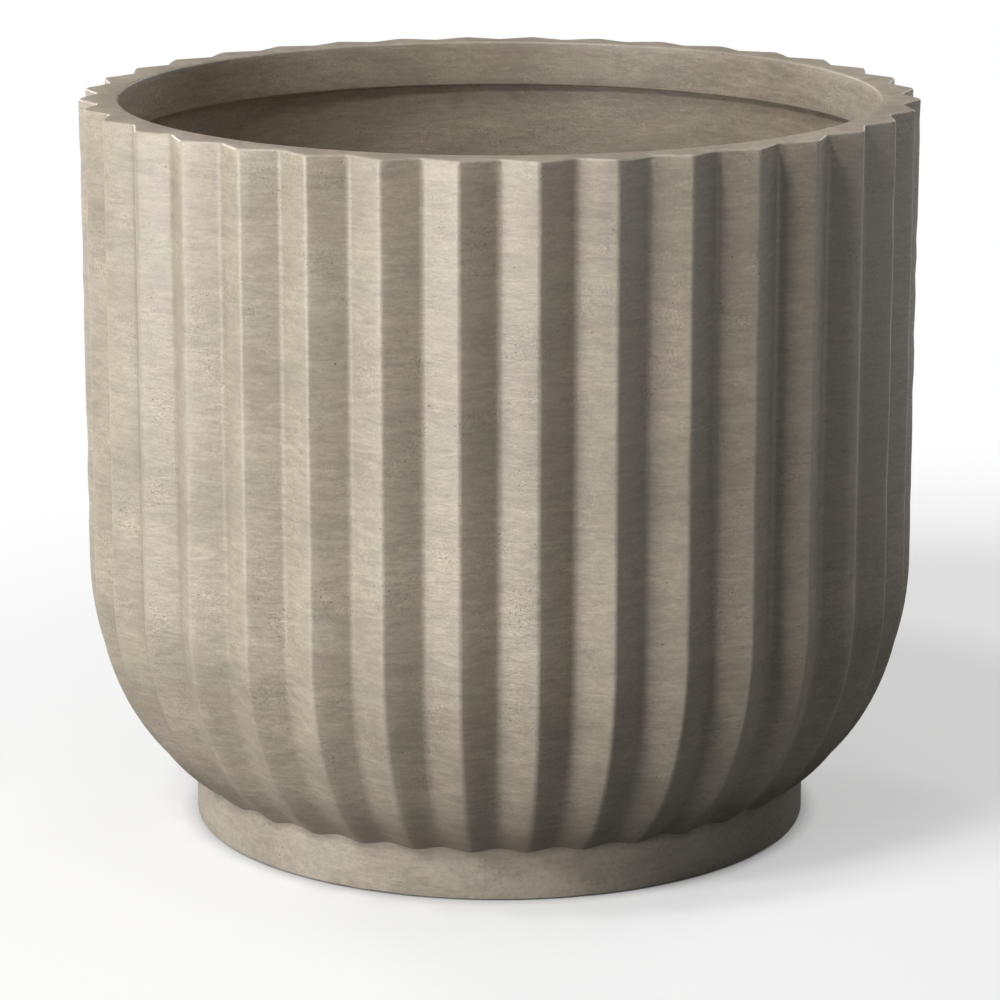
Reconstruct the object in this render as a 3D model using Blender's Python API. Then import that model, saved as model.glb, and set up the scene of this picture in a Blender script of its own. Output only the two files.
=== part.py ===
"""Fluted concrete planter on a plain round foot, modelled in metres with +Z up.

The origin is at the middle of the base, on the surface that the planter stands on. A fluted shell
holds the soil, a plain collar lines its mouth, and a ring under it, scribed to the flutes, is the
foot. A plastic sleeve lines the drain hole in the floor, a rubber plug closes it, and four rubber
pads are let into the foot.
"""

import math

import bmesh
import bpy

# Shell
RIM_RADIUS = 0.215  # from the centre to the ridges of the flutes
HEIGHT = 0.380
FLUTES = 36
FLUTE_DEPTH = 0.0082  # ridge to valley, on the upright wall
RIDGE_FLAT = 0.0018  # width of the blunt edge of a ridge
VALLEY_FLAT = 0.0030  # width of the bottom of a valley
FLAT_KEPT = 0.4  # share of both widths that is left where the flutes have faded out
CURVE_TOP = 0.138  # height where the wall leaves the vertical
CURVE_REACH = 0.103  # how far in the curve comes before it lies flat
UNDERSIDE = 0.0095  # height of the flat underside of the shell
WALL = 0.0078  # behind a valley, where the wall is thinnest
FLOOR = 0.016
RIM_CHAMFER = 0.0012

# Collar in the mouth
COLLAR_HEIGHT = 0.0243
COLLAR_OVERHANG = 0.0043  # how far the collar stands in from the wall below it
COLLAR_SEAT = 0.0020  # depth of the ledge in the wall that carries the collar

# Foot
FOOT_RADIUS = 0.161
FOOT_WIDTH = 0.022
FOOT_CHAMFER = 0.0008
PADS = 4
PAD_RADIUS = 0.007
PAD_THICKNESS = 0.003
PAD_STAND = 0.0004  # how far a pad stands out below the foot

# Drain
DRAIN_RADIUS = 0.013  # bore of the sleeve
SLEEVE_WALL = 0.0025
SLEEVE_FLANGE_WIDTH = 0.0045
SLEEVE_FLANGE_THICKNESS = 0.0025
PLUG_LIP = 0.004  # how far the head of the plug reaches past its stem
PLUG_HEAD_HEIGHT = 0.004
PLUG_TAPER = 0.0008  # how much thinner the stem is at its lower end
PLUG_WALL = 0.0032
PLUG_CROWN = 0.005  # rubber left above the hollow of the plug

GAP = 0.0003  # between pieces that touch or are bonded

# Fineness of the meshes
CURVE_STEPS = 11
ROUND_SEGMENTS = 72
SMALL_SEGMENTS = 32
SMOOTH_ANGLE = math.radians(18)
FLAT_ENOUGH = 0.000001

# Values worked out from the ones above
WALL_INSET = FLUTE_DEPTH + WALL
CURVE_CENTRE = RIM_RADIUS - CURVE_REACH
FLOOR_TOP = UNDERSIDE + FLOOR
INNER_RADIUS = RIM_RADIUS - WALL_INSET
COLLAR_BOTTOM = HEIGHT - COLLAR_HEIGHT
SLEEVE_RADIUS = DRAIN_RADIUS + SLEEVE_WALL
SLEEVE_FLANGE_RADIUS = SLEEVE_RADIUS + SLEEVE_FLANGE_WIDTH
CUT_MARGIN = 0.010  # how far a cutter runs past the face that it cuts

CONCRETE = ("concrete", (0.34, 0.30, 0.24), 0.8)
DRAIN_PLASTIC = ("drain_plastic", (0.05, 0.05, 0.05), 0.45)
RUBBER = ("rubber", (0.02, 0.02, 0.02), 0.75)


def clear_scene():
    for old in list(bpy.data.objects):
        bpy.data.objects.remove(old, do_unlink=True)


def material(look):
    name, colour, roughness = look
    made = bpy.data.materials.new(name)
    made.use_nodes = True
    shader = made.node_tree.nodes["Principled BSDF"]
    shader.inputs["Base Color"].default_value = (*colour, 1.0)
    shader.inputs["Roughness"].default_value = roughness
    shader.inputs["Metallic"].default_value = 0.0
    return made


def add_object(name, mesh_data, look=None):
    """Links a new object. One with no look is a cutter, which isn't part of the planter."""
    made = bpy.data.objects.new(name, mesh_data)
    bpy.context.scene.collection.objects.link(made)
    if look:
        mesh_data.materials.append(material(look))
        mesh_data.shade_smooth()
        mesh_data.set_sharp_from_angle(angle=SMOOTH_ANGLE)
    else:
        made.hide_render = True
        made.display_type = "WIRE"
    return made


def off_plane(face):
    """How far the fourth corner of a four-sided face lies off the plane of the other three."""
    a, b, c, d = [vert.co for vert in face.verts]
    return abs((d - a).dot((b - a).cross(c - a).normalized()))


def skin(rings, closed):
    """A mesh over rings of equal length. Closed joins the last ring to the first, or both ends get a cap."""
    built = bmesh.new()
    loops = [[built.verts.new(point) for point in ring] for ring in rings]
    pairs = list(zip(loops, loops[1:]))
    if closed:
        pairs.append((loops[-1], loops[0]))
    for low, high in pairs:
        for i in range(len(low)):
            j = (i + 1) % len(low)
            built.faces.new((low[i], low[j], high[j], high[i]))
    if not closed:
        built.faces.new(loops[0])
        built.faces.new(loops[-1])
    twisted = [face for face in built.faces if len(face.verts) == 4 and off_plane(face) > FLAT_ENOUGH]
    bmesh.ops.triangulate(built, faces=twisted, quad_method="SHORT_EDGE")
    bmesh.ops.recalc_face_normals(built, faces=built.faces)
    made = bpy.data.meshes.new("skin")
    built.to_mesh(made)
    built.free()
    return made


def circle(radius, z, segments):
    turns = [2 * math.pi * i / segments for i in range(segments)]
    return [(radius * math.cos(a), radius * math.sin(a), z) for a in turns]


def turned(name, outline, segments, look=None, closed=True):
    """A solid turned about the Z axis from its outline of (radius, height) points."""
    rings = [circle(radius, z, segments) for radius, z in outline]
    return add_object(name, skin(rings, closed), look)


def cut(target, cutter):
    modifier = target.modifiers.new(cutter.name, "BOOLEAN")
    modifier.operation = "DIFFERENCE"
    modifier.solver = "EXACT"
    modifier.object = cutter


def curve_point(turn, inset=0.0):
    """A point of the ridges' curve under the wall, moved in along the curve's normal by inset."""
    drop = CURVE_TOP - UNDERSIDE
    radius = CURVE_CENTRE + CURVE_REACH * math.cos(turn)
    z = CURVE_TOP - drop * math.sin(turn)
    out, down = drop * math.cos(turn), CURVE_REACH * math.sin(turn)
    length = math.hypot(out, down)
    return radius - inset * out / length, z + inset * down / length


def curve_height(radius):
    """How high the ridges are at that radius."""
    share = min(1.0, max(0.0, (radius - CURVE_CENTRE) / CURVE_REACH))
    return CURVE_TOP - (CURVE_TOP - UNDERSIDE) * math.sin(math.acos(share))


def fluted_ring(ridge, valley):
    """One ring of the zigzag. Ridge and valley are (radius, height). A valley faces the front."""
    share = max(0.0, min(1.0, (ridge[0] - valley[0]) / FLUTE_DEPTH))
    pitch = 2 * math.pi / FLUTES
    points = []
    for k in range(FLUTES):
        for middle, flat, (radius, z) in (
            (k * pitch, VALLEY_FLAT, valley),
            ((k + 0.5) * pitch, RIDGE_FLAT, ridge),
        ):
            half = flat * (FLAT_KEPT + (1 - FLAT_KEPT) * share) / 2 / radius
            for angle in (middle - half, middle + half):
                points.append((radius * math.cos(angle), radius * math.sin(angle), z))
    return points


def fluted_body(name, grow, top, look=None):
    """The outside of the shell as a solid, grown by grow all over. The flutes fade under the curve."""
    rings = []
    for step in range(CURVE_STEPS, -1, -1):
        turn = math.pi / 2 * step / CURVE_STEPS
        depth = FLUTE_DEPTH * math.cos(turn) ** 2
        rings.append(fluted_ring(curve_point(turn, -grow), curve_point(turn, depth - grow)))
    ridge, valley = RIM_RADIUS + grow, RIM_RADIUS - FLUTE_DEPTH + grow
    rings.append(fluted_ring((ridge, top - RIM_CHAMFER), (valley, top - RIM_CHAMFER)))
    rings.append(fluted_ring((ridge - RIM_CHAMFER, top), (valley - RIM_CHAMFER, top)))
    return add_object(name, skin(rings, closed=False), look)


def cavity_cutter():
    """The space inside the shell, with the ledge for the collar at its mouth."""
    reach = CURVE_REACH - WALL_INSET
    drop = CURVE_TOP - FLOOR_TOP
    outline = []
    for step in range(CURVE_STEPS, -1, -1):
        turn = math.pi / 2 * step / CURVE_STEPS
        outline.append((CURVE_CENTRE + reach * math.cos(turn), CURVE_TOP - drop * math.sin(turn)))
    seat_radius = INNER_RADIUS + COLLAR_SEAT
    outline += [
        (INNER_RADIUS, COLLAR_BOTTOM - GAP),
        (seat_radius, COLLAR_BOTTOM - GAP),
        (seat_radius, HEIGHT + CUT_MARGIN),
    ]
    return turned("cavity_cutter", outline, ROUND_SEGMENTS, closed=False)


def drain_cutter():
    """The stepped hole in the floor that the sleeve is set in."""
    ledge = FLOOR_TOP - SLEEVE_FLANGE_THICKNESS - GAP
    outline = [
        (SLEEVE_RADIUS + GAP, UNDERSIDE - CUT_MARGIN),
        (SLEEVE_RADIUS + GAP, ledge),
        (SLEEVE_FLANGE_RADIUS + GAP, ledge),
        (SLEEVE_FLANGE_RADIUS + GAP, FLOOR_TOP + CUT_MARGIN),
    ]
    return turned("drain_cutter", outline, SMALL_SEGMENTS, closed=False)


def make_shell():
    shell = fluted_body("fluted_shell", 0.0, HEIGHT, CONCRETE)
    cut(shell, cavity_cutter())
    cut(shell, drain_cutter())


def make_collar():
    outer = INNER_RADIUS + COLLAR_SEAT - GAP
    bore = INNER_RADIUS - COLLAR_OVERHANG
    outline = [
        (bore, COLLAR_BOTTOM),
        (outer, COLLAR_BOTTOM),
        (outer, HEIGHT),
        (bore + RIM_CHAMFER, HEIGHT),
        (bore, HEIGHT - RIM_CHAMFER),
    ]
    turned("rim_collar", outline, ROUND_SEGMENTS, CONCRETE)


def pad_places():
    """Where each pad stands: number, x and y."""
    radius = FOOT_RADIUS - FOOT_WIDTH / 2
    for number in range(PADS):
        angle = 2 * math.pi * (number + 0.5) / PADS
        yield number + 1, radius * math.cos(angle), radius * math.sin(angle)


def make_foot():
    """A plain ring, cut above to the shape of the fluted shell and below to take the pads."""
    inner = FOOT_RADIUS - FOOT_WIDTH
    top = curve_height(FOOT_RADIUS) + CUT_MARGIN
    outline = [
        (inner, PAD_STAND),
        (FOOT_RADIUS - FOOT_CHAMFER, PAD_STAND),
        (FOOT_RADIUS, PAD_STAND + FOOT_CHAMFER),
        (FOOT_RADIUS, top),
        (inner, top),
    ]
    foot = turned("foot_ring", outline, ROUND_SEGMENTS, CONCRETE)
    cut(foot, fluted_body("shell_cutter", GAP, HEIGHT))
    for number, x, y in pad_places():
        pocket = turned(
            f"pad_cutter_{number}",
            [(PAD_RADIUS + GAP, -CUT_MARGIN), (PAD_RADIUS + GAP, PAD_THICKNESS + GAP)],
            SMALL_SEGMENTS,
            closed=False,
        )
        pocket.location = (x, y, 0.0)
        cut(foot, pocket)


def make_pads():
    for number, x, y in pad_places():
        outline = [(PAD_RADIUS, 0.0), (PAD_RADIUS, PAD_THICKNESS)]
        pad = turned(f"foot_pad_{number}", outline, SMALL_SEGMENTS, RUBBER, closed=False)
        pad.location = (x, y, 0.0)


def make_sleeve():
    ledge = FLOOR_TOP - SLEEVE_FLANGE_THICKNESS
    outline = [
        (DRAIN_RADIUS, UNDERSIDE),
        (SLEEVE_RADIUS, UNDERSIDE),
        (SLEEVE_RADIUS, ledge),
        (SLEEVE_FLANGE_RADIUS, ledge),
        (SLEEVE_FLANGE_RADIUS, FLOOR_TOP),
        (DRAIN_RADIUS, FLOOR_TOP),
    ]
    turned("drain_sleeve", outline, SMALL_SEGMENTS, DRAIN_PLASTIC)


def make_plug():
    """A tapered rubber stem under a domed head. The stem is hollow from below, so it can give."""
    stem = DRAIN_RADIUS - GAP
    stem_end = stem - PLUG_TAPER
    head = DRAIN_RADIUS + PLUG_LIP
    seat = FLOOR_TOP + GAP
    bottom = UNDERSIDE + GAP
    hollow_top = seat + PLUG_HEAD_HEIGHT - PLUG_CROWN
    edge = PLUG_HEAD_HEIGHT / 4  # the head's rim is domed in steps of this size
    outline = [
        (stem_end - PLUG_WALL, hollow_top),
        (stem_end - PLUG_WALL, bottom),
        (stem_end, bottom),
        (stem, seat),
        (head, seat),
        (head, seat + PLUG_HEAD_HEIGHT - 2 * edge),
        (head - edge, seat + PLUG_HEAD_HEIGHT - edge / 2),
        (head - 3 * edge, seat + PLUG_HEAD_HEIGHT),
    ]
    turned("drain_plug", outline, SMALL_SEGMENTS, RUBBER, closed=False)


clear_scene()
make_shell()
make_collar()
make_foot()
make_pads()
make_sleeve()
make_plug()
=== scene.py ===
"""The looks of the fluted concrete planter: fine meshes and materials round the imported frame."""
import math

import bmesh
import bpy
from mathutils import Matrix, Vector, noise


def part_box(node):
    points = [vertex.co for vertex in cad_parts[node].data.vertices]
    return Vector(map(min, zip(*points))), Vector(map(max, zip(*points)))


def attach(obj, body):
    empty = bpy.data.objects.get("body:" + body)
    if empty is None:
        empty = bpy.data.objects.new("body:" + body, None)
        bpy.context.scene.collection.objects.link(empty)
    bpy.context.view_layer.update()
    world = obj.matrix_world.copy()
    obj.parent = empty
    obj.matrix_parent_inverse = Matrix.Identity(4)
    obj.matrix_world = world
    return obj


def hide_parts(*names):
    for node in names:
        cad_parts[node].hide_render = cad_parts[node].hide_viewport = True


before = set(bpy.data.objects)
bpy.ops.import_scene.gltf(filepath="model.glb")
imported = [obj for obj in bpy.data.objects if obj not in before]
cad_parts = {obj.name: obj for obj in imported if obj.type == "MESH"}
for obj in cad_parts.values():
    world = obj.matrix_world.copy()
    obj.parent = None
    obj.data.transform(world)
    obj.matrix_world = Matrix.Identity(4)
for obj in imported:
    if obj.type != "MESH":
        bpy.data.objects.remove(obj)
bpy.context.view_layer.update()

# Sizes read from the frame
SHELL_LOW, SHELL_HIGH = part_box("fluted_shell")
COLLAR_LOW, COLLAR_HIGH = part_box("rim_collar")
FOOT_LOW, FOOT_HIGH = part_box("foot_ring")
SLEEVE_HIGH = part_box("drain_sleeve")[1]
PLUG_LOW, PLUG_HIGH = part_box("drain_plug")

# Shell, in metres
RIM_RADIUS = 0.215  # from the centre to the ridges of the flutes
HEIGHT = SHELL_HIGH.z
UNDERSIDE = SHELL_LOW.z
FLUTES = 36
FLUTE_DEPTH = 0.0082
RIDGE_ROUND = 0.0030  # width of the rounded edge of a ridge
VALLEY_ROUND = 0.0048  # width of the rounded bottom of a valley
SOFTEST = 2.6  # how many times wider the rounds are where the flutes run out
CURVE_TOP = 0.138
CURVE_REACH = 0.103
WALL_INSET = 0.016
FLOOR_TOP = SLEEVE_HIGH.z
RIM_ROUND = 0.0013
BED = 0.00015  # half of the mortar bed between two castings

# Collar, foot and drain
COLLAR_OUTER = COLLAR_HIGH.x + BED
COLLAR_BORE = 0.1947
COLLAR_BOTTOM = COLLAR_LOW.z
COLLAR_LOW_ROUND = 0.0008  # rounding of the collar's lower edge
FOOT_RADIUS = FOOT_HIGH.x
FOOT_INNER = FOOT_RADIUS - 0.022
FOOT_BOTTOM = FOOT_LOW.z
FOOT_ROUND = 0.0009
GAP = 0.0003  # round the pads, the sleeve and the plug
SLEEVE_BORE = 0.013
SLEEVE_WALL = 0.0025
FLANGE = 0.0025  # thickness of the sleeve's flange
SLEEVE_ROUND = 0.0006
SLEEVE_LIP = 0.001  # length of the bore at each end of the sleeve's outline
PLUG_CROWN = 0.005  # rubber left above the hollow of the plug
PLUG_WALL = 0.0032
PLUG_TAPER = 0.0008
PLUG_BEVEL_WIDTH = 0.0028
PLUG_BEVEL_DROP = 0.0012
PLUG_DISH = 0.0009  # depth of the dish in the plug's head
PLUG_ROUND = 0.0007
PAD_DISH = 0.0005
PAD_ROUND = 0.0006

# Stepped hole for the drain
DRAIN_SEAT = SLEEVE_HIGH.x + GAP
DRAIN_LEDGE = FLOOR_TOP - FLANGE - GAP
DRAIN_BORE = SLEEVE_BORE + SLEEVE_WALL + GAP

# Values worked out from the ones above
INNER_RADIUS = RIM_RADIUS - WALL_INSET
CURVE_CENTRE = RIM_RADIUS - CURVE_REACH
CURVE_DROP = CURVE_TOP - UNDERSIDE
FLOOR_DROP = CURVE_TOP - FLOOR_TOP
PITCH = 2 * math.pi / FLUTES

# Fineness of the meshes
RIDGE_STEPS = 6
FLANK_STEPS = 4
VALLEY_STEPS = 6
COARSE_PER_FLUTE = 5
WALL_ROWS = 24
CURVE_ROWS = 34
ROUND_ROWS = 4
RING_ROWS = 6  # on the collar's bore and on the foot's side
SMALL_SEGMENTS = 96
PAD_SEGMENTS = 48
SMOOTH_ANGLE = math.radians(32)

# Worn paleness of edges, partly painted highlight, and painted shade on the castings, where 0 is none and 1
# is that of the most shaded joint or a worn edge
# painted shade in the valleys of the flutes and under the collar's ledge
CREASE_SHADE = 0.36
JOINT_SHADE = 0.6  # painted shade in the bed between the foot and the shell
# worn, paler edge of the collar's bore, partly painted highlight
COLLAR_WEAR_AND_HIGHLIGHT = 0.3
COLLAR_LOW_WEAR = 0.7
FOOT_WEAR = 1.5  # the foot is rubbed all over, more than an edge
FOOT_SHADE_TOP = 0.062  # height at which the painted shade above the foot starts
FOOT_SHADE_BOTTOM = 0.028

# Unevenness of the castings
WAVE_HEIGHT = 0.00025
WAVE_SIZE = 0.05
NICK_DEPTH = 0.0005
NICK_SIZE = 0.012


def lerp(a, b, share):
    return a + (b - a) * share


def clamp(value):
    return max(0.0, min(1.0, value))


def flute_columns():
    """Angles of the fine columns within one flute, from a ridge to the next, as shares of the pitch."""
    ridge = RIDGE_ROUND / 2 / (RIM_RADIUS * PITCH)
    valley = VALLEY_ROUND / 2 / (RIM_RADIUS * PITCH)
    half = RIDGE_STEPS // 2
    shares = [ridge * i / half for i in range(half)]
    shares += [lerp(ridge, 0.5 - valley, i / FLANK_STEPS) for i in range(FLANK_STEPS)]
    shares += [lerp(0.5 - valley, 0.5 + valley, i / VALLEY_STEPS) for i in range(VALLEY_STEPS)]
    shares += [lerp(0.5 + valley, 1 - ridge, i / FLANK_STEPS) for i in range(FLANK_STEPS)]
    shares += [1 - ridge + ridge * i / half for i in range(half)]
    return shares


FINE_SHARES = flute_columns()
FINE_PER_COARSE = len(FINE_SHARES) // COARSE_PER_FLUTE
FINE_ANGLES = [(k + 0.5 + share) * PITCH for k in range(FLUTES) for share in FINE_SHARES]
COARSE = len(FINE_ANGLES) // FINE_PER_COARSE
COARSE_ANGLES = [0.5 * PITCH + 2 * math.pi * i / COARSE for i in range(COARSE)]


def zigzag(angle, radius, soft=1.0):
    """0 on a ridge and 1 in a valley, with both rounded. Radius turns the rounds' widths to angles.

    Soft is how many times wider than on the wall the rounds are.
    """
    share = (angle / PITCH + 0.5) % 1.0
    from_ridge = min(share, 1 - share)
    ridge = soft * RIDGE_ROUND / (radius * PITCH)
    valley = soft * VALLEY_ROUND / (radius * PITCH)
    slope = 1 / (0.5 - ridge / 4 - valley / 4)
    if from_ridge < ridge / 2:
        return slope * from_ridge**2 / ridge
    from_valley = 0.5 - from_ridge
    if from_valley < valley / 2:
        return 1 - slope * from_valley**2 / valley
    return slope * (from_ridge - ridge / 4)


def ridge_share(angle, radius):
    """1 on the edge of a ridge, falling to 0 beside it."""
    share = (angle / PITCH + 0.5) % 1.0
    away = min(share, 1 - share) * PITCH * radius
    return math.exp(-((away / (0.7 * RIDGE_ROUND)) ** 2))


def valley_share(angle, radius):
    """1 in the bottom of a valley, falling to 0 beside it."""
    share = (angle / PITCH) % 1.0
    away = min(share, 1 - share) * PITCH * radius
    return math.exp(-((away / VALLEY_ROUND) ** 2))


def foot_share(z):
    """Painted shade: 0 high on the shell, growing to 1 where it meets the foot."""
    share = clamp((FOOT_SHADE_TOP - z) / (FOOT_SHADE_TOP - FOOT_SHADE_BOTTOM))
    return share**2 * (3 - 2 * share)


def curve_at(turn, inset):
    """Radius and height on the curve under the wall, moved in along its normal by inset."""
    radius = CURVE_CENTRE + CURVE_REACH * math.cos(turn)
    z = CURVE_TOP - CURVE_DROP * math.sin(turn)
    out, down = CURVE_DROP * math.cos(turn), CURVE_REACH * math.sin(turn)
    length = math.hypot(out, down)
    return radius - inset * out / length, z + inset * down / length


def flute_depth(turn):
    return FLUTE_DEPTH * math.cos(turn) ** 2


def fluted_at(turn, angle):
    """Radius and height of the fluted surface on the curve."""
    rough_radius = CURVE_CENTRE + CURVE_REACH * math.cos(turn)
    soft = lerp(SOFTEST, 1.0, flute_depth(turn) / FLUTE_DEPTH)
    return curve_at(turn, flute_depth(turn) * zigzag(angle, rough_radius, soft))


def underside_height(radius, angle):
    """Height of the fluted surface over a point of the foot, by halving."""
    low, high = 0.0, math.pi / 2
    for _ in range(30):
        turn = (low + high) / 2
        if fluted_at(turn, angle)[0] > radius:
            low = turn
        else:
            high = turn
    return fluted_at(low, angle)[1]


def uneven(point, height=WAVE_HEIGHT):
    """How far the cast surface lies below its true shape at that point, from 0 to height."""
    return height * (0.5 + 0.5 * noise.noise(Vector(point) / WAVE_SIZE))


def nick(point, share):
    """How deep the edge is worn at that point. Share is 1 on the edge."""
    if share < 0.05:
        return 0.0
    wear_and_highlight = noise.noise(Vector(point) / NICK_SIZE + Vector((7.0, 3.0, 1.0)))
    return share * NICK_DEPTH * clamp(wear_and_highlight * 2.4 - 0.2)


def polar(radius, angle, z):
    return radius * math.cos(angle), radius * math.sin(angle), z


class Skin:
    """Loops of points joined into one mesh, each point with its worn paleness, partly painted highlight,
    and its painted shade.
    """

    def __init__(self):
        self.mesh = bmesh.new()
        self.wear_and_highlight = self.mesh.verts.layers.float.new("wear_and_highlight")
        self.painted_shade = self.mesh.verts.layers.float.new("painted_shade")
        self.first = self.last = None

    def loop(self, points, wear_and_highlight=0.0, painted_shade=0.0):
        """Adds a loop of points and joins it to the one before. The worn paleness and the painted shade are
        each one value or a list.
        """
        made = []
        for i, point in enumerate(points):
            vert = self.mesh.verts.new(point)
            vert[self.wear_and_highlight] = wear_and_highlight[i] if isinstance(wear_and_highlight, list) else wear_and_highlight
            vert[self.painted_shade] = painted_shade[i] if isinstance(painted_shade, list) else painted_shade
            made.append(vert)
        if self.last:
            self.join(self.last, made)
        else:
            self.first = made
        self.last = made

    def join(self, a, b):
        if len(a) == len(b):
            for i in range(len(a)):
                j = (i + 1) % len(a)
                self.mesh.faces.new((a[i], a[j], b[j], b[i]))
            return
        fine, coarse = (a, b) if len(a) > len(b) else (b, a)
        step = len(fine) // len(coarse)
        for i in range(len(coarse)):
            j = (i + 1) % len(coarse)
            run = [fine[(i * step + k) % len(fine)] for k in range(step + 1)]
            self.mesh.faces.new([coarse[j], coarse[i], *run])

    def close(self):
        self.join(self.last, self.first)

    def cap(self, loop):
        self.mesh.faces.new(loop)

    def piece(self, name, look, body, slot, *nodes):
        """Ends the mesh as a shown piece that rides on a body and stands for CAD nodes."""
        bmesh.ops.recalc_face_normals(self.mesh, faces=self.mesh.faces)
        data = bpy.data.meshes.new(name)
        self.mesh.to_mesh(data)
        self.mesh.free()
        data.materials.append(look)
        data.shade_smooth()
        data.set_sharp_from_angle(angle=SMOOTH_ANGLE)
        made = bpy.data.objects.new(name, data)
        bpy.context.scene.collection.objects.link(made)
        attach(made, body)
        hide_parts(*nodes)
        return made


def round_points(steps):
    """Points of a quarter round, from its first side to its second, as shares of its radius."""
    turns = [math.pi / 2 * i / steps for i in range(steps + 1)]
    return [(1 - math.cos(turn), math.sin(turn)) for turn in turns]


def outside_loops(skin):
    """The fluted outside, from the flat underside up to the edge of the flat rim."""
    for step in range(CURVE_ROWS, 0, -1):
        turn = math.pi / 2 * step / CURVE_ROWS
        points, wear_and_highlight, painted_shade = [], [], []
        for angle in FINE_ANGLES:
            radius, z = fluted_at(turn, angle)
            point = polar(radius, angle, z)
            depth = flute_depth(turn) / FLUTE_DEPTH
            low = uneven(point) * math.cos(turn)
            points.append(polar(radius - low, angle, z))
            # worn, paler ridges, partly painted highlight
            wear_and_highlight.append(ridge_share(angle, radius) * depth**2)
            # painted shade in the valleys and on the curve above the foot
            painted_shade.append(max(CREASE_SHADE * valley_share(angle, radius) * depth, foot_share(z)))
        skin.loop(points, wear_and_highlight, painted_shade)
    top = HEIGHT - RIM_ROUND
    for row in range(WALL_ROWS + 1):
        wall_loop(skin, lerp(CURVE_TOP, top, row / WALL_ROWS), 0.0)
    for inset, rise in round_points(ROUND_ROWS)[1:]:
        wall_loop(skin, top + rise * RIM_ROUND, inset * RIM_ROUND, edge=1.0)


def wall_loop(skin, z, inset, edge=0.0):
    """One loop round the upright fluted wall. Edge is 1 on the rounded edge of the rim."""
    points, wear_and_highlight, painted_shade = [], [], []
    for angle in FINE_ANGLES:
        radius = RIM_RADIUS - FLUTE_DEPTH * zigzag(angle, RIM_RADIUS)
        share = ridge_share(angle, radius)
        point = polar(radius, angle, z)
        low = uneven(point) + nick(point, max(share, edge))
        points.append(polar(radius - inset - low, angle, z))
        # worn, paler ridges and rim edge, partly painted highlight
        wear_and_highlight.append(max(share, edge))
        # painted shade in the valleys
        painted_shade.append(CREASE_SHADE * valley_share(angle, radius) * (1 - edge))
    skin.loop(points, wear_and_highlight, painted_shade)


def turned_loop(skin, radius, z, painted_shade=0.0, angles=COARSE_ANGLES, wave=0.0):
    """One plain loop. Wave is how far it may lie off its true radius."""
    points = []
    for angle in angles:
        point = polar(radius, angle, z)
        points.append(polar(radius + uneven(point, wave), angle, z))
    skin.loop(points, painted_shade=painted_shade)


def inside_loops(skin):
    """From the flat rim over the collar's ledge, down the inner wall and over the floor to the drain."""
    turned_loop(skin, COLLAR_OUTER, HEIGHT)
    turned_loop(skin, COLLAR_OUTER, COLLAR_BOTTOM - BED)
    # painted shade under the collar's ledge
    turned_loop(skin, INNER_RADIUS, COLLAR_BOTTOM - BED, painted_shade=CREASE_SHADE)
    for row in range(1, WALL_ROWS // 2 + 1):
        z = lerp(COLLAR_BOTTOM - BED, CURVE_TOP, row / (WALL_ROWS // 2))
        turned_loop(skin, INNER_RADIUS, z, wave=WAVE_HEIGHT * 2)
    reach = CURVE_REACH - WALL_INSET
    for row in range(1, CURVE_ROWS // 2 + 1):
        turn = math.pi / 2 * row / (CURVE_ROWS // 2)
        radius = CURVE_CENTRE + reach * math.cos(turn)
        turned_loop(skin, radius, CURVE_TOP - FLOOR_DROP * math.sin(turn), wave=WAVE_HEIGHT)
    for share in (0.75, 0.5, 0.25, 0.0):
        turned_loop(skin, lerp(DRAIN_SEAT, CURVE_CENTRE, share), FLOOR_TOP)
    # painted shade in the drain's stepped recess
    turned_loop(skin, DRAIN_SEAT, DRAIN_LEDGE, painted_shade=1.0)
    turned_loop(skin, DRAIN_BORE, DRAIN_LEDGE, painted_shade=1.0)
    turned_loop(skin, DRAIN_BORE, UNDERSIDE)
    for share in (0.35, 0.7):
        turned_loop(skin, lerp(DRAIN_BORE, CURVE_CENTRE, share), UNDERSIDE)


def make_shell(look):
    skin = Skin()
    outside_loops(skin)
    inside_loops(skin)
    skin.close()
    skin.piece("shell_casting", look, "planter", "concrete", "fluted_shell")


def make_collar(look):
    skin = Skin()
    turned_loop(skin, COLLAR_OUTER, COLLAR_BOTTOM - BED)
    turned_loop(skin, COLLAR_OUTER, HEIGHT)
    # worn, paler top edge of the bore, partly painted highlight
    for inset, drop in reversed(round_points(ROUND_ROWS)):
        z = HEIGHT - (1 - drop) * RIM_ROUND
        collar_loop(skin, COLLAR_BORE + inset * RIM_ROUND, z, COLLAR_WEAR_AND_HIGHLIGHT)
    for row in range(1, RING_ROWS):
        z = lerp(HEIGHT - RIM_ROUND, COLLAR_BOTTOM + COLLAR_LOW_ROUND, row / RING_ROWS)
        collar_loop(skin, COLLAR_BORE, z, 0.0)
    for inset, drop in round_points(ROUND_ROWS):
        z = COLLAR_BOTTOM + (1 - drop) * COLLAR_LOW_ROUND
        collar_loop(skin, COLLAR_BORE + inset * COLLAR_LOW_ROUND, z, COLLAR_LOW_WEAR)
    # painted shade under the collar's ledge
    turned_loop(skin, INNER_RADIUS, COLLAR_BOTTOM, painted_shade=CREASE_SHADE)
    skin.close()
    skin.piece("collar_casting", look, "planter", "concrete", "rim_collar")


def collar_loop(skin, radius, z, edge):
    """One loop of the collar's bore, worn and painted pale by edge, partly as painted highlight, and
    slightly uneven.
    """
    points = []
    for angle in COARSE_ANGLES:
        point = polar(radius, angle, z)
        low = uneven(point) + nick(point, edge)
        points.append(polar(radius + low, angle, z))
    skin.loop(points, edge)


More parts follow.
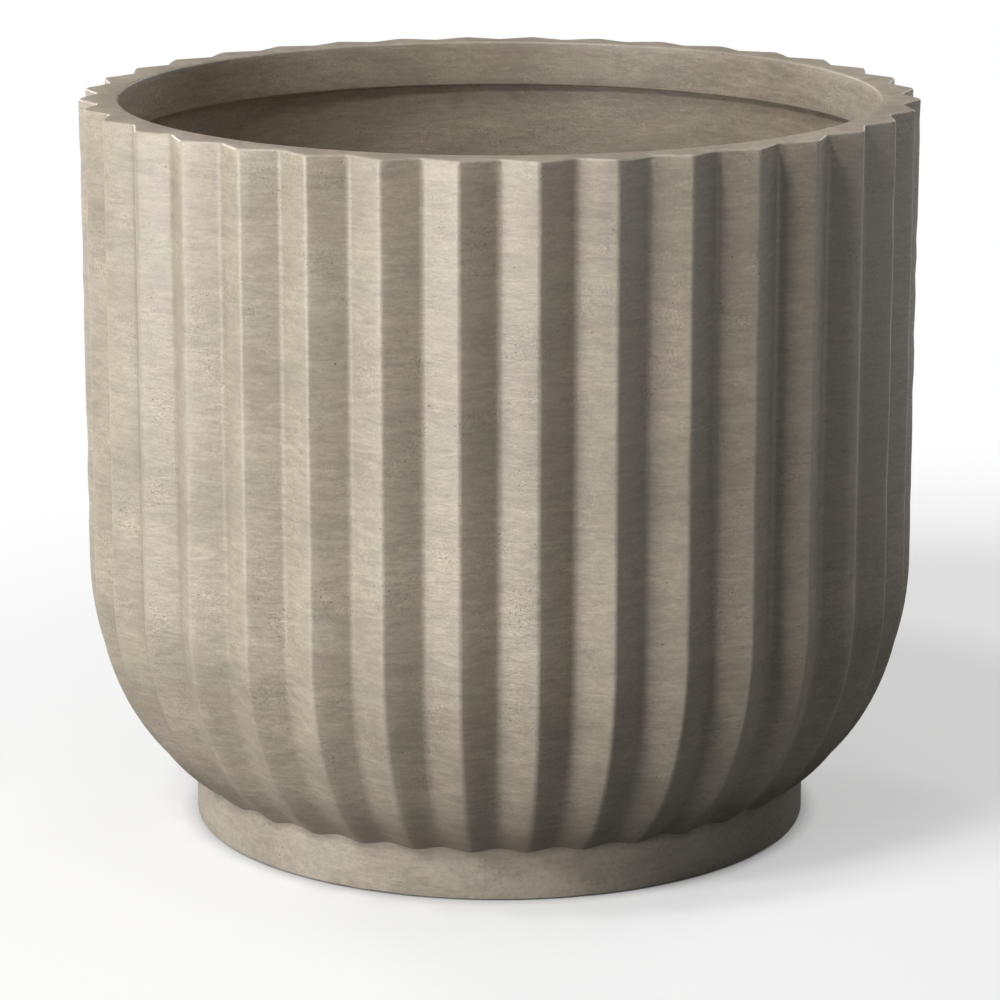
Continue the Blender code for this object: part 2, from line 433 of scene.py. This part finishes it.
def make_foot(look):
    skin = Skin()
    for radius in (FOOT_INNER, lerp(FOOT_INNER, FOOT_RADIUS, 0.5), FOOT_RADIUS):
        points = [polar(radius, a, underside_height(radius, a) + BED) for a in FINE_ANGLES]
        # painted shade at the joint under the shell
        skin.loop(points, painted_shade=JOINT_SHADE)
    low = FOOT_BOTTOM + FOOT_ROUND
    for row in range(1, RING_ROWS + 1):
        points = []
        for angle in FINE_ANGLES:
            top = underside_height(FOOT_RADIUS, angle)
            z = lerp(top, low, row / RING_ROWS)
            point = polar(FOOT_RADIUS, angle, z)
            points.append(polar(FOOT_RADIUS - uneven(point), angle, z))
        skin.loop(points, FOOT_WEAR)
    for inset, drop in round_points(ROUND_ROWS)[1:]:
        z = low - drop * FOOT_ROUND
        points = []
        for angle in FINE_ANGLES:
            point = polar(FOOT_RADIUS, angle, z)
            in_by = inset * FOOT_ROUND + uneven(point) + nick(point, 1.0)
            points.append(polar(FOOT_RADIUS - in_by, angle, z))
        skin.loop(points, FOOT_WEAR)
    turned_loop(skin, FOOT_INNER + FOOT_ROUND, FOOT_BOTTOM, angles=FINE_ANGLES)
    turned_loop(skin, FOOT_INNER, FOOT_BOTTOM + FOOT_ROUND, angles=FINE_ANGLES)
    skin.close()
    foot = skin.piece("foot_casting", look, "planter", "concrete", "foot_ring")
    carve_pockets(foot)


def pad_boxes():
    """Middle, radius and top of each pad."""
    for number in range(1, 5):
        low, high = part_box(f"foot_pad_{number}")
        yield number, (low + high) / 2, (high.x - low.x) / 2, high.z


def carve_pockets(foot):
    """Cuts the round pockets of the pads into the underside of the foot."""
    tool = bmesh.new()
    for _, middle, radius, top in pad_boxes():
        place = Matrix.Translation((middle.x, middle.y, 0.0))
        reach = radius + GAP
        depth = 2 * (top + GAP)
        bmesh.ops.create_cone(
            tool,
            cap_ends=True,
            segments=PAD_SEGMENTS,
            radius1=reach,
            radius2=reach,
            depth=depth,
            matrix=place,
        )
    data = bpy.data.meshes.new("pocket_cutter")
    tool.to_mesh(data)
    tool.free()
    cutter = bpy.data.objects.new("pocket_cutter", data)
    bpy.context.scene.collection.objects.link(cutter)
    cut = foot.modifiers.new("pockets", "BOOLEAN")
    cut.operation = "DIFFERENCE"
    cut.solver = "EXACT"
    cut.object = cutter
    seen = foot.evaluated_get(bpy.context.evaluated_depsgraph_get())
    carved = bpy.data.meshes.new_from_object(seen)
    foot.modifiers.clear()
    foot.data = carved
    carved.set_sharp_from_angle(angle=SMOOTH_ANGLE)
    bpy.data.objects.remove(cutter, do_unlink=True)


def turned_piece(name, outline, segments, look, body, slot, node, x=0.0, y=0.0):
    """A solid turned about the Z axis from its outline of (radius, height) points, ends capped."""
    skin = Skin()
    turns = [2 * math.pi * i / segments for i in range(segments)]
    first = None
    for radius, z in outline:
        skin.loop([(x + radius * math.cos(a), y + radius * math.sin(a), z) for a in turns])
        first = first or skin.last
    skin.cap(first)
    skin.cap(skin.last)
    skin.piece(name, look, body, slot, node)


def rounded(outline, radius, steps=3):
    """The outline with each corner between its ends rounded."""
    out = [outline[0]]
    for before, corner, after in zip(outline, outline[1:], outline[2:]):
        here = Vector(corner)
        to_before = Vector(before) - here
        to_after = Vector(after) - here
        reach = min(radius, to_before.length * 0.45, to_after.length * 0.45)
        a = here + to_before.normalized() * reach
        b = here + to_after.normalized() * reach
        for i in range(steps + 1):
            t = i / steps
            point = a * (1 - t) ** 2 + here * 2 * t * (1 - t) + b * t**2
            out.append((point.x, point.y))
    out.append(outline[-1])
    return out


def make_pads(look):
    """Rubber discs, each with a shallow dish in its underside."""
    for number, middle, radius, top in pad_boxes():
        outline = [
            (radius * 0.5, top),
            (radius, top),
            (radius, 0.0),
            (radius * 0.72, 0.0),
            (radius * 0.66, PAD_DISH),
            (radius * 0.4, PAD_DISH),
        ]
        points = rounded(outline, PAD_ROUND)
        name, node = f"rubber_pad_{number}", f"foot_pad_{number}"
        turned_piece(name, points, PAD_SEGMENTS, look, "planter", "rubber", node, middle.x, middle.y)


def make_sleeve(look):
    """A liner with a flange at its top, its edges rounded."""
    skin = Skin()
    tube = SLEEVE_BORE + SLEEVE_WALL
    ledge = FLOOR_TOP - FLANGE
    outline = rounded(
        [
            (SLEEVE_BORE, UNDERSIDE + SLEEVE_LIP),
            (SLEEVE_BORE, UNDERSIDE),
            (tube, UNDERSIDE),
            (tube, ledge),
            (SLEEVE_HIGH.x, ledge),
            (SLEEVE_HIGH.x, FLOOR_TOP),
            (SLEEVE_BORE, FLOOR_TOP),
            (SLEEVE_BORE, FLOOR_TOP - SLEEVE_LIP),
        ],
        SLEEVE_ROUND,
    )
    turns = [2 * math.pi * i / SMALL_SEGMENTS for i in range(SMALL_SEGMENTS)]
    for radius, z in outline:
        skin.loop([polar(radius, a, z) for a in turns])
    skin.close()
    skin.piece("drain_liner", look, "planter", "drain_plastic", "drain_sleeve")


def make_plug(look):
    """A tapered stem, hollow from below, under a head with a shallow dish in its top."""
    head = PLUG_HIGH.x
    stem = SLEEVE_BORE - GAP
    seat = FLOOR_TOP + GAP
    top, bottom = PLUG_HIGH.z, PLUG_LOW.z
    hollow = stem - PLUG_TAPER - PLUG_WALL
    outline = [
        (hollow * 0.5, top - PLUG_CROWN),
        (hollow, top - PLUG_CROWN),
        (hollow, bottom),
        (stem - PLUG_TAPER, bottom),
        (stem, seat),
        (head, seat),
        (head, top - PLUG_BEVEL_DROP),
        (head - PLUG_BEVEL_WIDTH, top),
        (head * 0.52, top),
        (head * 0.48, top - PLUG_DISH),
        (head * 0.3, top - PLUG_DISH),
    ]
    points = rounded(outline, PLUG_ROUND)
    turned_piece("rubber_plug", points, SMALL_SEGMENTS, look, "plug", "rubber", "drain_plug")


class Nodes:
    """Short calls for building one material's node tree."""

    def __init__(self, name):
        self.material = bpy.data.materials.new(name)
        self.material.use_nodes = True
        self.tree = self.material.node_tree
        self.shader = self.tree.nodes["Principled BSDF"]
        self.output = self.tree.nodes["Material Output"]

    def add(self, kind, inputs=(), **settings):
        """Adds a node, sets its settings, and gives its inputs a value or a link by name or number."""
        made = self.tree.nodes.new(kind)
        for key, value in settings.items():
            setattr(made, key, value)
        for key, value in dict(inputs).items():
            self.feed(made.inputs[key], value)
        return made

    def feed(self, socket, value):
        if isinstance(value, bpy.types.NodeSocket):
            self.tree.links.new(value, socket)
        else:
            socket.default_value = value

    def math(self, operation, a, b):
        return self.add("ShaderNodeMath", {0: a, 1: b}, operation=operation).outputs[0]

    def times(self, a, b):
        return self.math("MULTIPLY", a, b)

    def spread(self, value, low, high, to_low=0.0, to_high=1.0):
        """Maps low..high smoothly to to_low..to_high."""
        made = self.add(
            "ShaderNodeMapRange",
            {"Value": value, "From Min": low, "From Max": high, "To Min": to_low, "To Max": to_high},
            interpolation_type="SMOOTHSTEP",
        )
        return made.outputs[0]

    def mix(self, share, a, b, blend="MIX"):
        made = self.add("ShaderNodeMix", data_type="RGBA", blend_type=blend)
        self.feed(made.inputs[0], share)
        self.feed(made.inputs[6], a)
        self.feed(made.inputs[7], b)
        return made.outputs[2]

    def noise(self, place, scale, detail, roughness, bend=0.0):
        made = self.add(
            "ShaderNodeTexNoise",
            {"Vector": place, "Scale": scale, "Detail": detail, "Roughness": roughness, "Distortion": bend},
        )
        return made.outputs[0]

    def stretched(self, place, scale, shift=(0.0, 0.0, 0.0)):
        made = self.add("ShaderNodeMapping", {"Vector": place, "Scale": scale, "Location": shift})
        return made.outputs[0]

    def distance(self, place, middle):
        made = self.add("ShaderNodeVectorMath", {0: place, 1: middle}, operation="DISTANCE")
        return made.outputs["Value"]

    def diffuse(self, colour):
        return self.add("ShaderNodeBsdfDiffuse", {"Color": colour}).outputs[0]

    def emission(self, strength):
        return self.add("ShaderNodeEmission", {"Strength": strength}).outputs[0]

    def blend(self, share, a, b):
        """Shader a where share is 0 and shader b where it is 1."""
        return self.add("ShaderNodeMixShader", {0: share, 1: a, 2: b}).outputs[0]


CONCRETE = (0.388, 0.332, 0.256, 1.0)
GREENISH = (0.375, 0.332, 0.254, 1.0)
PINKISH = (0.400, 0.334, 0.262, 1.0)
PALE = (0.500, 0.445, 0.365, 1.0)
# colour of the painted shade in creases, joints, the drain recess and the pits
DARK = (0.110, 0.094, 0.074, 1.0)
SHADE_SHARE = 0.42  # how far the places of deepest painted shade turn to DARK
HOLE_SHARE = 0.7  # how far the pits turn to DARK, as painted shade in them
SHEEN = 0.85  # specular level of the sealed concrete
RUBBER = (0.018, 0.018, 0.017, 1.0)
RUBBER_BLOOM = (0.040, 0.038, 0.035, 1.0)
PLASTIC = (0.045, 0.045, 0.047, 1.0)
CEMENT_DUST = (0.22, 0.20, 0.17, 1.0)


def pits(nodes, place, scale, radius, kept):
    """1 in small round holes, 0 elsewhere. Kept is the share of the cells that hold one."""
    cells = nodes.add("ShaderNodeTexVoronoi", {"Vector": place, "Scale": scale, "Randomness": 1.0})
    near = nodes.spread(cells.outputs["Distance"], radius * 0.5, radius, 1.0, 0.0)
    pick = nodes.add("ShaderNodeSeparateColor", {0: cells.outputs["Color"]})
    chosen = nodes.spread(pick.outputs[0], kept * 0.8, kept, 1.0, 0.0)
    return nodes.times(near, chosen)


def concrete_look():
    """Cast concrete: mottled and faintly streaked level, grainy, with pits darkened as painted shade, worn
    edges painted pale partly as highlight, and painted shade in creases and joints.
    """
    nodes = Nodes("cast_concrete")
    place = nodes.add("ShaderNodeTexCoord").outputs["Object"]
    wear_and_highlight = nodes.add("ShaderNodeAttribute", attribute_name="wear_and_highlight").outputs["Fac"]
    painted_shade = nodes.add("ShaderNodeAttribute", attribute_name="painted_shade").outputs["Fac"]

    mottle = nodes.noise(nodes.stretched(place, (1.0, 1.0, 1.7)), 13.0, 7.0, 0.8)
    streak = nodes.noise(nodes.stretched(place, (55.0, 55.0, 300.0), (5.0, 2.0, 0.0)), 1.0, 2.0, 0.6, 1.0)
    mark = nodes.noise(nodes.stretched(place, (190.0, 190.0, 640.0), (1.0, 4.0, 2.0)), 1.0, 3.0, 0.65, 0.8)
    patch = nodes.noise(nodes.stretched(place, (1.0, 1.0, 1.3), (3.1, 0.7, 1.9)), 30.0, 3.0, 0.6)
    crowd = nodes.noise(nodes.stretched(place, (1.0, 1.0, 1.0), (8.0, 3.0, 5.0)), 42.0, 2.0, 0.6)
    broken = nodes.noise(place, 330.0, 2.0, 0.6)
    grain = nodes.noise(place, 900.0, 2.0, 0.7)

    colour = nodes.mix(nodes.spread(patch, 0.36, 0.50), GREENISH, CONCRETE)
    colour = nodes.mix(nodes.spread(patch, 0.50, 0.64), colour, PINKISH)

    tone = nodes.spread(mottle, 0.25, 0.75, 0.81, 1.19)
    tone = nodes.times(tone, nodes.spread(streak, 0.25, 0.75, 0.88, 1.12))
    marked = nodes.times(nodes.math("SUBTRACT", mark, 0.5), nodes.spread(mottle, 0.46, 0.58, 0.34, 0.76))
    tone = nodes.times(tone, nodes.math("ADD", marked, 1.0))
    grainy = nodes.times(nodes.math("SUBTRACT", grain, 0.5), nodes.spread(crowd, 0.50, 0.66, 0.45, 1.1))
    tone = nodes.times(tone, nodes.math("ADD", grainy, 1.0))
    shade = nodes.add("ShaderNodeCombineColor", {0: tone, 1: tone, 2: tone}).outputs[0]
    colour = nodes.mix(1.0, colour, shade, "MULTIPLY")

    # worn, paler edges, partly painted highlight
    worn_and_highlit = nodes.times(wear_and_highlight, nodes.spread(mottle, 0.40, 0.60, 0.3, 1.0))
    worn_and_highlit = nodes.times(worn_and_highlit, nodes.spread(broken, 0.35, 0.65, 0.2, 0.6))
    colour = nodes.mix(worn_and_highlit, colour, PALE)
    # painted shade in the valleys, under the collar's ledge, above the foot and in the drain recess
    colour = nodes.mix(nodes.times(painted_shade, SHADE_SHARE), colour, DARK)

    small = pits(nodes, place, 300.0, 0.16, 0.05)
    wide = pits(nodes, place, 90.0, 0.075, 0.12)
    crowded = nodes.times(pits(nodes, place, 420.0, 0.22, 0.4), nodes.spread(crowd, 0.56, 0.64))
    holes = nodes.math("MAXIMUM", nodes.math("MAXIMUM", small, wide), crowded)
    # painted shade in the pits
    colour = nodes.mix(nodes.times(holes, HOLE_SHARE), colour, DARK)

    rough = nodes.spread(mottle, 0.3, 0.7, 0.43, 0.51)
    height = nodes.math("ADD", nodes.times(streak, 0.30), nodes.times(mottle, 0.5))
    height = nodes.math("ADD", height, nodes.times(marked, 0.6))
    height = nodes.math("ADD", height, nodes.times(grainy, 0.6))
    height = nodes.math("SUBTRACT", height, nodes.times(holes, 0.8))
    bump = nodes.add("ShaderNodeBump", {"Height": height, "Strength": 0.5, "Distance": 0.0006})

    nodes.feed(nodes.shader.inputs["Base Color"], colour)
    nodes.feed(nodes.shader.inputs["Roughness"], rough)
    nodes.feed(nodes.shader.inputs["Normal"], bump.outputs[0])
    nodes.shader.inputs["Specular IOR Level"].default_value = SHEEN
    return nodes.material


def rubber_look():
    """Dull black rubber with a faint bloom."""
    nodes = Nodes("dull_rubber")
    place = nodes.add("ShaderNodeTexCoord").outputs["Object"]
    bloom = nodes.noise(place, 260.0, 4.0, 0.6)
    colour = nodes.mix(nodes.spread(bloom, 0.4, 0.7), RUBBER, RUBBER_BLOOM)
    bump = nodes.add("ShaderNodeBump", {"Height": bloom, "Strength": 0.3, "Distance": 0.0002})
    nodes.feed(nodes.shader.inputs["Base Color"], colour)
    nodes.feed(nodes.shader.inputs["Roughness"], nodes.spread(bloom, 0.3, 0.7, 0.62, 0.8))
    nodes.feed(nodes.shader.inputs["Normal"], bump.outputs[0])
    return nodes.material


def plastic_look():
    """Matte moulded plastic with a fine texture and a little cement dust."""
    nodes = Nodes("moulded_plastic")
    place = nodes.add("ShaderNodeTexCoord").outputs["Object"]
    fine = nodes.noise(place, 2200.0, 2.0, 0.5)
    dust = nodes.noise(place, 160.0, 4.0, 0.65)
    colour = nodes.mix(nodes.spread(dust, 0.52, 0.75, 0.0, 0.5), PLASTIC, CEMENT_DUST)
    bump = nodes.add("ShaderNodeBump", {"Height": fine, "Strength": 0.25, "Distance": 0.0001})
    nodes.feed(nodes.shader.inputs["Base Color"], colour)
    nodes.feed(nodes.shader.inputs["Roughness"], nodes.spread(dust, 0.4, 0.75, 0.42, 0.75))
    nodes.feed(nodes.shader.inputs["Normal"], bump.outputs[0])
    return nodes.material


# Floor and studio. Colours and strengths of 1 are white.
FLOOR_SIZE = 60.0
FLOOR_SEEN = (0.50, 0.50, 0.50, 1.0)
FLOOR_GLOW = 0.455  # added to FLOOR_SEEN in the camera's view, but not under the planter
CORNER_REACH = 0.01  # how near the planter the glow is shaded
FADE_MIDDLE = (0.25, -0.10, 0.0)  # the floor fades to white away from this point
FADE_START = 0.55
FADE_END = 0.95
FLOOR_REFLECTED = (0.30, 0.30, 0.30, 1.0)  # near the planter, in its gloss
FLOOR_BOUNCE = (0.12, 0.12, 0.12, 1.0)  # for the light that it throws back
WORLD_LIGHT = 0.01
WORLD_REFLECTED = 0.15  # strength of the world in the planter's gloss


def make_floor():
    """A pale floor. What the camera sees of it fades to plain white away from the planter."""
    data = bpy.data.meshes.new("studio_floor")
    half = FLOOR_SIZE / 2
    corners = [(-half, -half, 0.0), (half, -half, 0.0), (half, half, 0.0), (-half, half, 0.0)]
    data.from_pydata(corners, [], [(0, 1, 2, 3)])
    floor = bpy.data.objects.new("studio_floor", data)
    bpy.context.scene.collection.objects.link(floor)
    nodes = Nodes("studio_floor")
    tree = nodes.tree
    tree.nodes.remove(nodes.shader)
    place = nodes.add("ShaderNodeTexCoord").outputs["Object"]
    fade = nodes.spread(nodes.distance(place, FADE_MIDDLE), FADE_START, FADE_END)
    beside = nodes.spread(nodes.distance(place, (0.0, 0.0, 0.0)), FOOT_INNER, FOOT_RADIUS)
    corner = nodes.add("ShaderNodeAmbientOcclusion", {"Distance": CORNER_REACH}).outputs["AO"]
    glow = nodes.times(nodes.times(corner, beside), FLOOR_GLOW)
    path = nodes.add("ShaderNodeLightPath")
    mirrored = nodes.math("MAXIMUM", path.outputs["Is Glossy Ray"], path.outputs["Is Transmission Ray"])

    white = nodes.emission(1.0)
    seen, glowing = nodes.diffuse(FLOOR_SEEN), nodes.emission(glow)
    lit = nodes.add("ShaderNodeAddShader", {0: seen, 1: glowing}).outputs[0]
    reflected = nodes.blend(fade, nodes.diffuse(FLOOR_REFLECTED), white)
    final = nodes.blend(mirrored, nodes.diffuse(FLOOR_BOUNCE), reflected)
    final = nodes.blend(path.outputs["Is Camera Ray"], final, nodes.blend(fade, lit, white))
    tree.links.new(final, nodes.output.inputs["Surface"])
    data.materials.append(nodes.material)


def aim(made, target):
    made.rotation_euler = (Vector(target) - made.location).to_track_quat("-Z", "Y").to_euler()


def lamp(name, place, target, size, power):
    light = bpy.data.lights.new(name, "AREA")
    light.shape = "SQUARE"
    light.size = size
    light.energy = power
    made = bpy.data.objects.new(name, light)
    made.location = place
    bpy.context.scene.collection.objects.link(made)
    aim(made, target)
    return made


def softbox(name, azimuth, rise, distance, size, strength):
    """A square lamp aimed at the planter. Its azimuth in degrees is 0 in front and grows to the right.

    Lamps of the same strength light the planter equally, from any distance.
    """
    turn, lift = math.radians(azimuth), math.radians(rise)
    middle = Vector((0.0, 0.0, HEIGHT / 2))
    way = Vector((math.sin(turn) * math.cos(lift), -math.cos(turn) * math.cos(lift), math.sin(lift)))
    return lamp(name, middle + way * distance, middle, size, 10 * strength * distance**2)


def make_lights():
    near, far = 1.6, 5.0
    softbox("key_low", -50, 5, near, 0.5, 0.335)
    softbox("key_side", -60, 4, near, 0.5, 0.215)
    softbox("key_high", -38, 45, far, 0.8, 0.370)
    softbox("key_top", -50, 65, far, 0.8, 0.270)
    softbox("front_low", -38, 14, far, 0.8, 0.160)
    softbox("top", 0, 88, far, 0.8, 0.060)
    softbox("right_low", 75, 4, near, 0.5, 0.045)
    softbox("right_top", 110, 52, near, 1.2, 0.160)
    softbox("back_left", -140, 14, far, 0.8, 0.300)
    softbox("back_right", 148, 14, far, 0.8, 0.120)


def make_world():
    """Plain white in the camera's view, grey in reflections, and nearly no light besides the lamps."""
    world = bpy.data.worlds.new("studio")
    bpy.context.scene.world = world
    world.use_nodes = True
    tree = world.node_tree
    tree.nodes.remove(tree.nodes["Background"])
    path = tree.nodes.new("ShaderNodeLightPath")
    final = None
    for ray, strength in (
        (None, WORLD_LIGHT),
        ("Is Glossy Ray", WORLD_REFLECTED),
        ("Is Transmission Ray", 1.0),
        ("Is Camera Ray", 1.0),
    ):
        sky = tree.nodes.new("ShaderNodeBackground")
        sky.inputs["Color"].default_value = (1.0, 1.0, 1.0, 1.0)
        sky.inputs["Strength"].default_value = strength
        if ray:
            mixed = tree.nodes.new("ShaderNodeMixShader")
            tree.links.new(path.outputs[ray], mixed.inputs[0])
            tree.links.new(final, mixed.inputs[1])
            tree.links.new(sky.outputs[0], mixed.inputs[2])
            final = mixed.outputs[0]
        else:
            final = sky.outputs[0]
    tree.links.new(final, tree.nodes["World Output"].inputs["Surface"])


# Camera, fitted to the ellipses and edges of the planter in the photograph
CAMERA_PLACE = (0.00025, -2.0779, 0.6895)
CAMERA_PITCH = math.radians(14.17)
SENSOR_WIDTH = 36.0
FOCAL_LENGTH = 146.82


def make_camera():
    data = bpy.data.cameras.new("camera")
    data.sensor_width = SENSOR_WIDTH
    data.sensor_fit = "HORIZONTAL"
    data.lens = FOCAL_LENGTH
    data.clip_end = 200.0
    made = bpy.data.objects.new("camera", data)
    made.location = CAMERA_PLACE
    made.rotation_euler = (math.pi / 2 - CAMERA_PITCH, 0.0, 0.0)
    bpy.context.scene.collection.objects.link(made)
    bpy.context.scene.camera = made


concrete = concrete_look()
rubber = rubber_look()
plastic = plastic_look()
make_shell(concrete)
make_collar(concrete)
make_foot(concrete)
make_pads(rubber)
make_sleeve(plastic)
make_plug(rubber)
make_floor()
make_lights()
make_world()
make_camera()
bpy.context.scene.view_settings.view_transform = "Standard"
